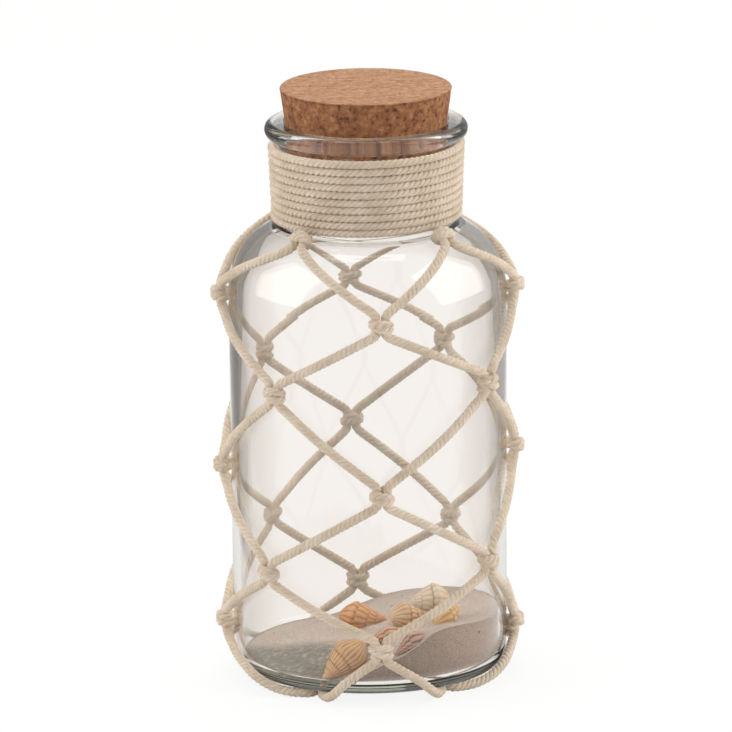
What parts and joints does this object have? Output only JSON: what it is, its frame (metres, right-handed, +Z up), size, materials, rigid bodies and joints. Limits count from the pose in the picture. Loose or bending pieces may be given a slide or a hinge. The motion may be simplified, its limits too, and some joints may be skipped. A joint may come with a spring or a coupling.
{
  "type": "decorative corked bottle",
  "caption": "Clear glass bottle with a cork stopper, a cord-wound neck and a knotted cord net, holding sand and seashells.",
  "frame": {"origin": "centre of the bottle's foot, on the surface that it stands on", "axes": "+Z up along the bottle's axis; -Y towards the front, where the picture is taken from"},
  "size_m": [0.1332, 0.1333, 0.2593],
  "materials": {
    "glass": "clear, polished",
    "cork": "matt, granular",
    "cord": "matt natural twist",
    "sand": "fine grain",
    "shell_cream": "satin, ribbed",
    "shell_orange": "satin, ridged",
    "shell_red": "satin, striped",
    "shell_pale": "satin",
    "shell_yellow": "satin, striped",
    "shell_brown": "satin"
  },
  "bodies": {
    "bottle": {"glass_bottle": "glass", "neck_winding": "cord", "net_knots": "cord", "base_ring": "cord", "sand_bed": "sand", "net_cord_1": "cord", "net_cord_2": "cord", "net_cord_3": "cord", "net_cord_4": "cord", "ribbed_whelk_shell": "shell_cream", "ridged_whelk_shell": "shell_orange", "red_striped_shell": "shell_red", "small_round_shell": "shell_red", "pale_large_shell": "shell_pale", "pale_yellow_shell": "shell_pale", "yellow_striped_shell": "shell_yellow", "shell_fragment": "shell_brown"},
    "stopper": {"cork_stopper": "cork"}
  },
  "joints": [
    {"name": "stopper_pull", "type": "slide", "parent": "bottle", "child": "stopper", "axis": [0, 0, 1], "range_m": [0, 0.06]}
  ]
}
